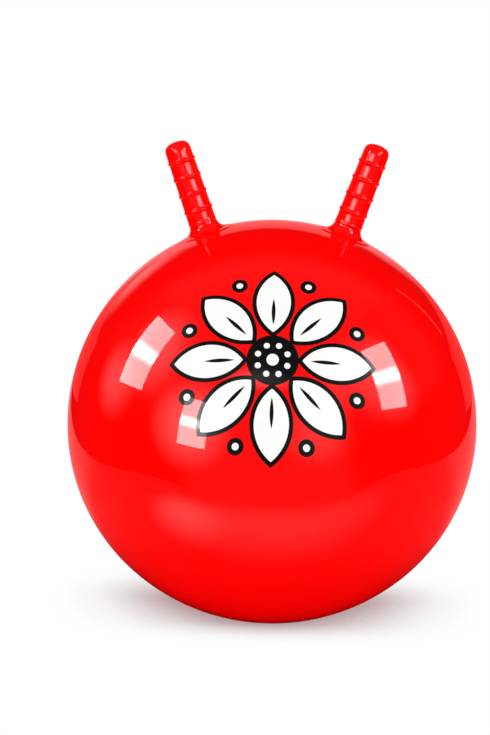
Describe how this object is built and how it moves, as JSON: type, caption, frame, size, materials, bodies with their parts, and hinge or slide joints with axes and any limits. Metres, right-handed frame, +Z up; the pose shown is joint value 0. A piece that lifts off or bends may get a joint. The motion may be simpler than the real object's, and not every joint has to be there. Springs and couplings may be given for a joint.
{
  "type": "hopper ball",
  "caption": "Soft inflated ball with a pair of ribbed hollow handles on top, an air valve with a push-in plug at the back and a two-colour flower print on the front.",
  "frame": {"origin": "middle of the flat patch on which the ball rests on the floor", "axes": "+Z up through the middle of the ball, the handles lean out along -X and +X, the print faces -Y and the valve is at the back, towards +Y"},
  "size_m": [0.46, 0.46, 0.5362],
  "materials": {
    "red_vinyl": "glossy, slightly translucent soft vinyl",
    "valve_vinyl": "satin soft vinyl",
    "white_plastic": "satin",
    "black_ink": "glossy printed ink",
    "white_ink": "glossy printed ink"
  },
  "bodies": {
    "ball": {"ball_skin": "red_vinyl", "left_handle_root": "red_vinyl", "right_handle_root": "red_vinyl", "valve_body": "valve_vinyl", "print_black": "black_ink", "print_white": "white_ink"},
    "left_handle": {"left_handle": "red_vinyl"},
    "right_handle": {"right_handle": "red_vinyl"},
    "valve_plug": {"valve_plug": "white_plastic"}
  },
  "joints": [
    {"name": "left_handle_bend", "type": "hinge", "parent": "ball", "child": "left_handle", "pos_m": [-0.08038, 0, 0.44879], "axis": [0.9432, 0, 0.3322], "range_deg": [-15, 15], "stiffness_Nm_per_rad": 2},
    {"name": "right_handle_bend", "type": "hinge", "parent": "ball", "child": "right_handle", "pos_m": [0.08038, 0, 0.44879], "axis": [0.9432, 0, -0.3322], "range_deg": [-15, 15], "stiffness_Nm_per_rad": 2},
    {"name": "plug_pull", "type": "slide", "parent": "ball", "child": "valve_plug", "axis": [0, 0.4695, 0.8829], "range_m": [0, 0.03]}
  ]
}
